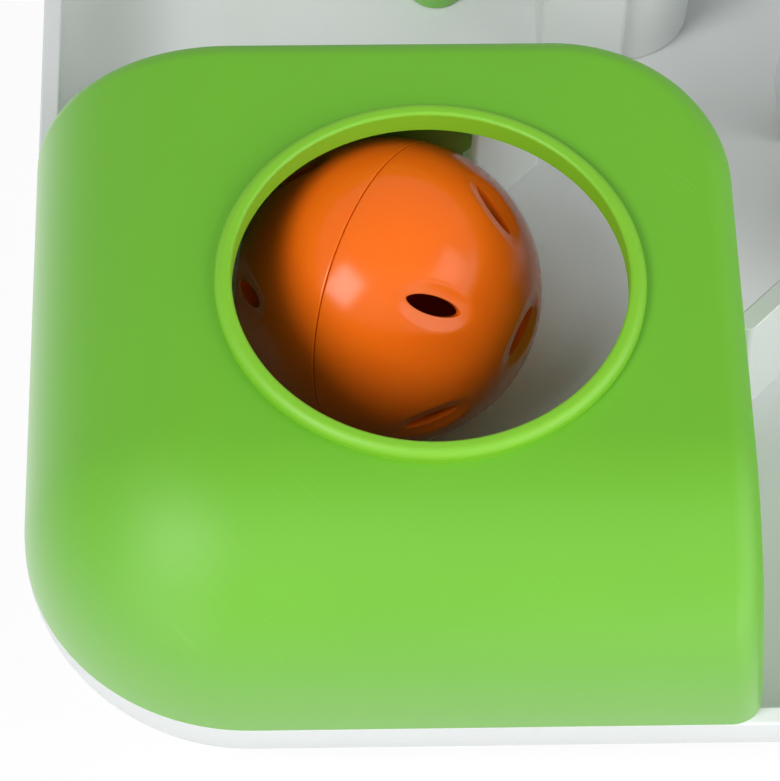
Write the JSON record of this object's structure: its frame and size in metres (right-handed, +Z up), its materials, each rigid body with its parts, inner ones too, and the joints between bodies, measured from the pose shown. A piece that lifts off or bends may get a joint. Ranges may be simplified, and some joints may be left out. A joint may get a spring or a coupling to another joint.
{
  "type": "cat puzzle feeder",
  "caption": "Square white feeding tray with a lift-off green corner hood over a slotted orange treat ball, and plug-in tubes, pegs and walls that make a cat work for its food.",
  "frame": {"origin": "on the table, under the middle of the tray", "axes": "+X to the right, +Y away from the hood's front side, +Z up"},
  "size_m": [0.3, 0.3, 0.0741],
  "materials": {
    "white_plastic": "satin moulded",
    "green_plastic": "satin moulded",
    "orange_plastic": "gloss moulded",
    "rubber": "matte"
  },
  "bodies": {
    "tray": {"tray": "white_plastic", "foot_front_left": "rubber", "foot_front_right": "rubber", "foot_rear_left": "rubber", "foot_rear_right": "rubber"},
    "hood": {"hood": "green_plastic"},
    "ball": {"ball_spigot_half": "orange_plastic"},
    "ball_cap": {"ball_socket_half": "orange_plastic"},
    "tube_rear": {"tube_rear": "white_plastic"},
    "tube_middle": {"tube_middle": "white_plastic"},
    "tube_side": {"tube_side": "white_plastic"},
    "peg_rear_1": {"peg_rear_1": "green_plastic"},
    "peg_rear_2": {"peg_rear_2": "green_plastic"},
    "peg_rear_3": {"peg_rear_3": "green_plastic"},
    "peg_side_1": {"peg_side_1": "green_plastic"},
    "peg_side_2": {"peg_side_2": "green_plastic"},
    "peg_side_3": {"peg_side_3": "green_plastic"},
    "door_wall_rear": {"door_wall_rear": "white_plastic"},
    "door_wall_side": {"door_wall_side": "white_plastic"},
    "lane_wall_rear": {"lane_wall_rear": "white_plastic"},
    "lane_wall_side": {"lane_wall_side": "white_plastic"}
  },
  "joints": [
    {"name": "hood_lift", "type": "slide", "parent": "tray", "child": "hood", "axis": [0, 0, 1], "range_m": [0, 0.09]},
    {"name": "ball_roll", "type": "hinge", "parent": "tray", "child": "ball", "pos_m": [-0.0757, -0.0502, 0.0363], "axis": [1, 0, 0], "continuous": true},
    {"name": "ball_twist", "type": "hinge", "parent": "ball", "child": "ball_cap", "pos_m": [-0.0757, -0.0502, 0.0363], "axis": [0.8657, -0.4662, 0.1822], "range_deg": [-30, 0]},
    {"name": "tube_rear_lift", "type": "slide", "parent": "tray", "child": "tube_rear", "axis": [0, 0, 1], "range_m": [0, 0.06]},
    {"name": "tube_middle_lift", "type": "slide", "parent": "tray", "child": "tube_middle", "axis": [0, 0, 1], "range_m": [0, 0.06]},
    {"name": "tube_side_lift", "type": "slide", "parent": "tray", "child": "tube_side", "axis": [0, 0, 1], "range_m": [0, 0.06]},
    {"name": "peg_rear_1_lift", "type": "slide", "parent": "tray", "child": "peg_rear_1", "axis": [0, 0, 1], "range_m": [0, 0.05]},
    {"name": "peg_rear_2_lift", "type": "slide", "parent": "tray", "child": "peg_rear_2", "axis": [0, 0, 1], "range_m": [0, 0.05]},
    {"name": "peg_rear_3_lift", "type": "slide", "parent": "tray", "child": "peg_rear_3", "axis": [0, 0, 1], "range_m": [0, 0.05]},
    {"name": "peg_side_1_lift", "type": "slide", "parent": "tray", "child": "peg_side_1", "axis": [0, 0, 1], "range_m": [0, 0.05]},
    {"name": "peg_side_2_lift", "type": "slide", "parent": "tray", "child": "peg_side_2", "axis": [0, 0, 1], "range_m": [0, 0.05]},
    {"name": "peg_side_3_lift", "type": "slide", "parent": "tray", "child": "peg_side_3", "axis": [0, 0, 1], "range_m": [0, 0.05]},
    {"name": "door_wall_rear_lift", "type": "slide", "parent": "tray", "child": "door_wall_rear", "axis": [0, 0, 1], "range_m": [0, 0.05]},
    {"name": "door_wall_side_lift", "type": "slide", "parent": "tray", "child": "door_wall_side", "axis": [0, 0, 1], "range_m": [0, 0.05]},
    {"name": "lane_wall_rear_lift", "type": "slide", "parent": "tray", "child": "lane_wall_rear", "axis": [0, 0, 1], "range_m": [0, 0.05]},
    {"name": "lane_wall_side_lift", "type": "slide", "parent": "tray", "child": "lane_wall_side", "axis": [0, 0, 1], "range_m": [0, 0.05]}
  ]
}
